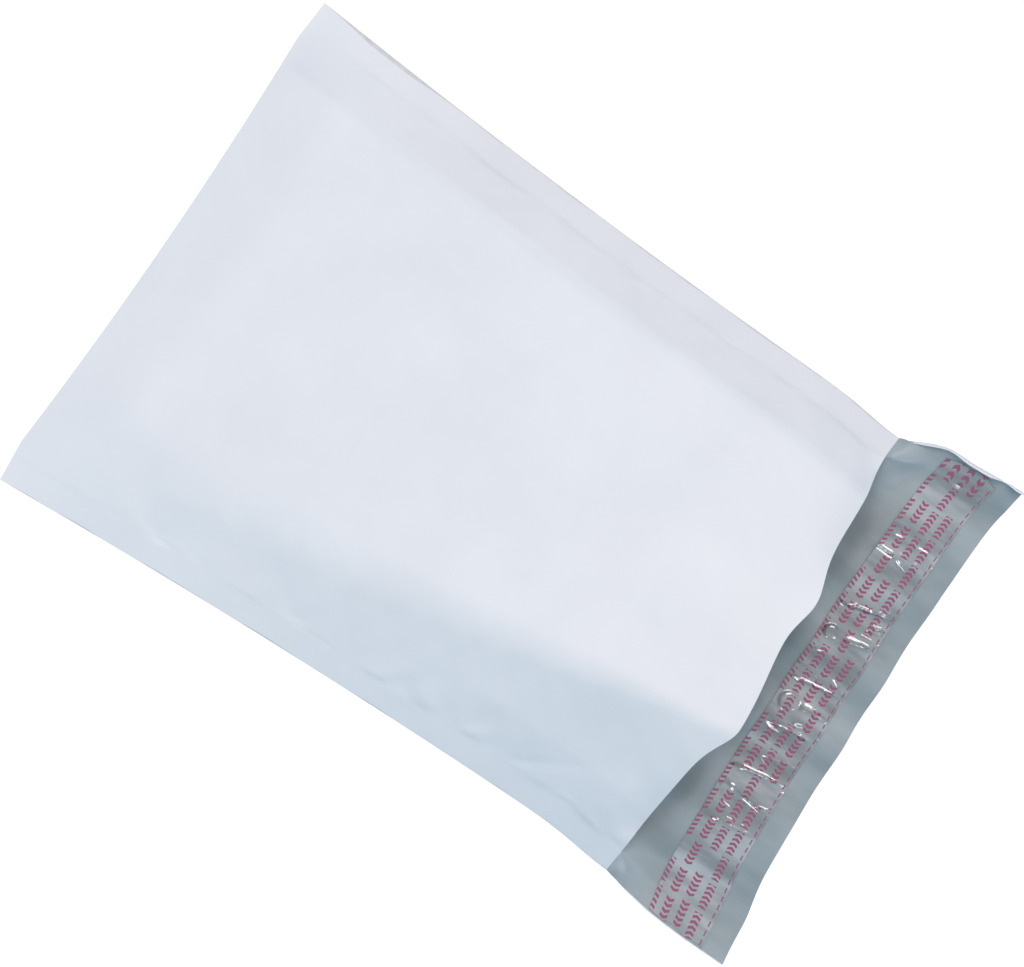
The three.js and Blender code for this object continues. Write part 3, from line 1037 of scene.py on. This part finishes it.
def film_shader(name, look):
    """A material with a look's roughness, grain and gloss, and the factor that clouds its colours."""
    shader = Shader(name)
    spots = shader.noise(look.spots, SPOT_DETAIL)
    shader.join(shader.spread(spots, *look.roughness), shader.surface["Roughness"])
    shader.bump(shader.noise(look.grain, look.detail), look.depth, look.strength)
    shader.surface["IOR"].default_value = look.ior
    shader.surface["Specular IOR Level"].default_value = look.specular
    cloudy = shader.spread(shader.noise(look.clouds, CLOUD_DETAIL, look.stretch), 0, 1)
    return shader, cloudy


def plain_film(name, look):
    shader, cloudy = film_shader(name, look)
    return shader.coloured(shader.blend(cloudy, *look.colours))


def white_film():
    shader, cloudy = film_shader("white_film", WHITE_FILM)
    # Film with no lining behind it takes the bare colours, which are partly painted shade on the slopes
    # next to the seals.
    backed_unshaded = shader.node("ShaderNodeAttribute", attribute_name="backing_vs_painted_shade").outputs["Fac"]
    bare_shaded = shader.blend(cloudy, *BARE_SHADED_COLOURS)
    return shader.coloured(shader.blend(backed_unshaded, bare_shaded, shader.blend(cloudy, *WHITE_FILM.colours)))


def liner_print(shader):
    """1 on the print and 0 off it."""
    flat = shader.node("ShaderNodeAttribute", attribute_name="flat")
    parts = shader.node("ShaderNodeSeparateXYZ")
    shader.join(flat.outputs["Vector"], parts.inputs[0])
    across = Signal(shader, parts.outputs["X"])
    along = Signal(shader, parts.outputs["Y"])
    row = math.floor((along - FIRST_ROW) / ROW_PITCH + 0.5)
    off = abs(along - FIRST_ROW - row * ROW_PITCH)
    shifted = across - PHRASE_START + row * (PHRASE_PITCH / 2)
    phrase = math.floor(shifted / PHRASE_PITCH)
    within = shifted - phrase * PHRASE_PITCH
    lean = (phrase % 2) * 2 - 1
    arm = within + off * lean * MARK_SLOPE
    stroke = (arm % MARK_PITCH).below(MARK_STROKE)
    group = (within % GROUP_PITCH).below(GROUP_LENGTH) * within.below(PHRASE_LENGTH)
    marks = stroke * group * off.below(MARK_HEIGHT / 2) * row.below(LAST_ROW + 0.5)
    dashes = (across % DASH_PITCH).below(DASH_LENGTH) * abs(along - DASH_LINE).below(DASH_WIDTH / 2)
    return marks.math("MAXIMUM", dashes).socket


def clear_liner():
    shader, cloudy = film_shader("clear_liner", LINER_FILM)
    # The liner's clouds hold painted reflection as well as the film's own tone.
    film = shader.blend(cloudy, *LINER_FILM.colours)
    return shader.coloured(shader.blend(liner_print(shader), film, INK))


# Pieces

white = white_film()
grey = plain_film("grey_film", GREY_FILM)
cut_edge = plain_film("edge_film", EDGE_FILM)

envelope = outer_film().piece("envelope_film", [white, grey, cut_edge])
# Share of backing, which also sets where the painted shade falls on the white film.
shade_mask_values = envelope.data.attributes.new("backing_vs_painted_shade", "FLOAT", "POINT")
shade_mask_values.data.foreach_set("value", backing_vs_painted_shade(envelope))
lining = bubble_sheet().piece("bubble_sheet", [plain_film("bubble_film", BUBBLE_FILM)])
adhesive = adhesive_band().piece("adhesive_band", [plain_film("adhesive_melt", ADHESIVE_MELT)])
liner_skin, liner_flat = liner_film()
liner = liner_skin.piece("liner_strip", [clear_liner()])
flat_places = liner.data.attributes.new("flat", "FLOAT_VECTOR", "POINT")
flat_places.data.foreach_set("vector", liner_flat[liner_skin.sources % len(liner_flat)].ravel())

for piece, node, slot in (
    (envelope, "outer_envelope", "outer_film"),
    (lining, "bubble_lining", "bubble_film"),
    (adhesive, "adhesive_strip", "adhesive"),
    (liner, "release_liner", "liner_film"),
):
    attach(piece, "root")
    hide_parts(node)

# Camera, straight above

IMAGE_WIDTH, IMAGE_HEIGHT = 1024, 967
PIXEL = 0.286  # millimetres for each pixel of the image, at the level of the table
ORIGIN_PIXEL = (517.8, 484.6)
CAMERA_TURN = math.radians(34.4)
CAMERA_HEIGHT = 650.0

camera = bpy.data.objects.new("camera", bpy.data.cameras.new("camera"))
bpy.context.scene.collection.objects.link(camera)
right = np.array([math.cos(CAMERA_TURN), math.sin(CAMERA_TURN)])
up = np.array([-right[1], right[0]])
aside = (IMAGE_WIDTH / 2 - ORIGIN_PIXEL[0]) * right - (IMAGE_HEIGHT / 2 - ORIGIN_PIXEL[1]) * up
camera.location = (aside[0] * PIXEL * MM, aside[1] * PIXEL * MM, CAMERA_HEIGHT * MM)
camera.rotation_euler = (0, 0, CAMERA_TURN)
camera.data.lens = camera.data.sensor_width * CAMERA_HEIGHT / (IMAGE_WIDTH * PIXEL)
bpy.context.scene.camera = camera

# Light and floor, with distances and sizes in metres

LAMP_DISTANCE = 2.6
LAMPS = {  # heading round the mailer, tilt from straight above, size, power and colour
    "key": (102, 20, 3.2, 70, (1.0, 0.638, 0.458)),
    "glint_above": (90, 60, 0.8, 21.3, (1.0, 0.97, 0.94)),
    "glint_below": (270, 60, 0.8, 21.3, (0.94, 0.98, 1.0)),
    "glint_beyond": (0, 60, 0.8, 14.2, (1.0, 1.0, 1.0)),
}
AMBIENT = (0.31, 0.56, 0.684)
FLOOR_SIZE = 4.0
FLOOR_COLOUR = (0.25, 0.25, 0.25)
FLOOR_ROUGHNESS = 0.9
FLOOR_GLOW = 0.88


def lamp(name, heading, tilt, size, power, colour):
    """An area lamp aimed at the mailer. The key gives soft light and no glint, the others glints alone."""
    light = bpy.data.lights.new(name, "AREA")
    light.size = size
    light.energy = power
    light.color = colour
    made = bpy.data.objects.new(name, light)
    turn = math.radians(heading)
    lean = math.radians(tilt)
    away = LAMP_DISTANCE * math.sin(lean)
    made.location = (away * math.cos(turn), away * math.sin(turn), LAMP_DISTANCE * math.cos(lean))
    made.rotation_euler = (0, lean, turn)
    made.visible_diffuse = name == "key"
    made.visible_glossy = name != "key"
    bpy.context.scene.collection.objects.link(made)


for lamp_name, facts in LAMPS.items():
    lamp(lamp_name, *facts)

world = bpy.data.worlds.new("studio")
world.use_nodes = True
bpy.context.scene.world = world
sky = Nodes(world.node_tree)
sky_colour = sky.blend(sky.seen_directly().socket, AMBIENT, WHITE)
sky.join(sky_colour, sky.tree.nodes["Background"].inputs["Color"])

edge = FLOOR_SIZE / 2
floor_corners = [(-edge, -edge, 0), (edge, -edge, 0), (edge, edge, 0), (-edge, edge, 0)]
floor_mesh = bpy.data.meshes.new("floor")
floor_mesh.from_pydata(floor_corners, [], [list(range(len(floor_corners)))])
floor_object = bpy.data.objects.new("floor", floor_mesh)
bpy.context.scene.collection.objects.link(floor_object)
floor_shader = Shader("pale_floor")
floor_shader.surface["Base Color"].default_value = (*FLOOR_COLOUR, 1)
floor_shader.surface["Roughness"].default_value = FLOOR_ROUGHNESS
floor_shader.surface["Specular IOR Level"].default_value = 0.0
floor_shader.surface["Emission Color"].default_value = (*WHITE, 1)
glow = floor_shader.seen_directly() * FLOOR_GLOW
floor_shader.join(glow.socket, floor_shader.surface["Emission Strength"])
floor_mesh.materials.append(floor_shader.material)

bpy.context.scene.view_settings.view_transform = "Standard"
